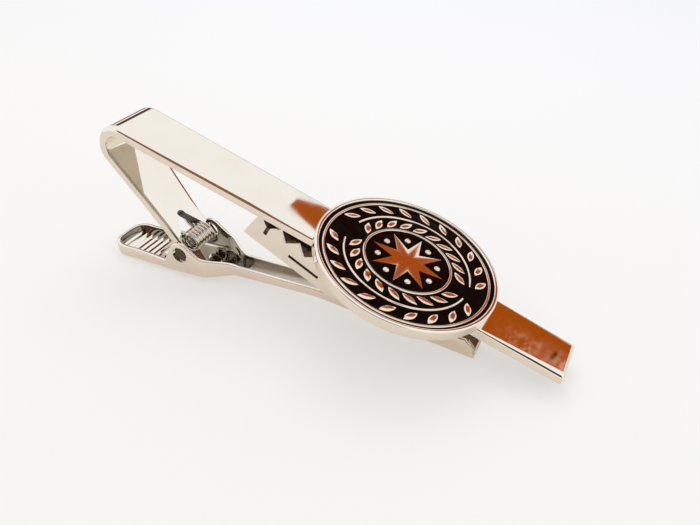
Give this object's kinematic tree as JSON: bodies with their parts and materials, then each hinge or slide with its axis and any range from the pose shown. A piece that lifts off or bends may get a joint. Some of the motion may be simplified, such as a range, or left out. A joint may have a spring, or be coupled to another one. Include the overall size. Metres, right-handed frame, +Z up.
{
  "type": "tie clip",
  "caption": "Sprung tie clip: a bent metal bar carries a round enamelled medallion, and a toothed jaw on a hinged lever grips the tie behind it.",
  "frame": {"origin": "centre of the bounding box's bottom, on the table that the clip lies on", "axes": "+X along the clip from its bend to the bar's free end, +Z up from the table, +Y across the bar"},
  "size_m": [0.0558, 0.02, 0.0178],
  "materials": {
    "nickel": "polished",
    "spring_steel": "drawn wire",
    "solder": "dull",
    "medal": "polished",
    "glue": "clear",
    "enamel": "gloss"
  },
  "bodies": {
    "bar": {"front_bar": "nickel", "torsion_spring": "spring_steel", "tray_solder": "solder", "bezel_tray": "nickel", "medallion_glue": "glue", "medallion": "medal", "enamel_fill": "enamel"},
    "lever": {"clip_lever": "nickel", "toothed_jaw": "nickel"}
  },
  "joints": [
    {"name": "lever_pivot", "type": "hinge", "parent": "bar", "child": "lever", "pos_m": [-0.01692, 0, 0.00333], "axis": [0, 1, 0], "range_deg": [0, 55], "stiffness_Nm_per_rad": 0.03, "springref_deg": -45.84, "deforming": ["torsion_spring"]}
  ]
}
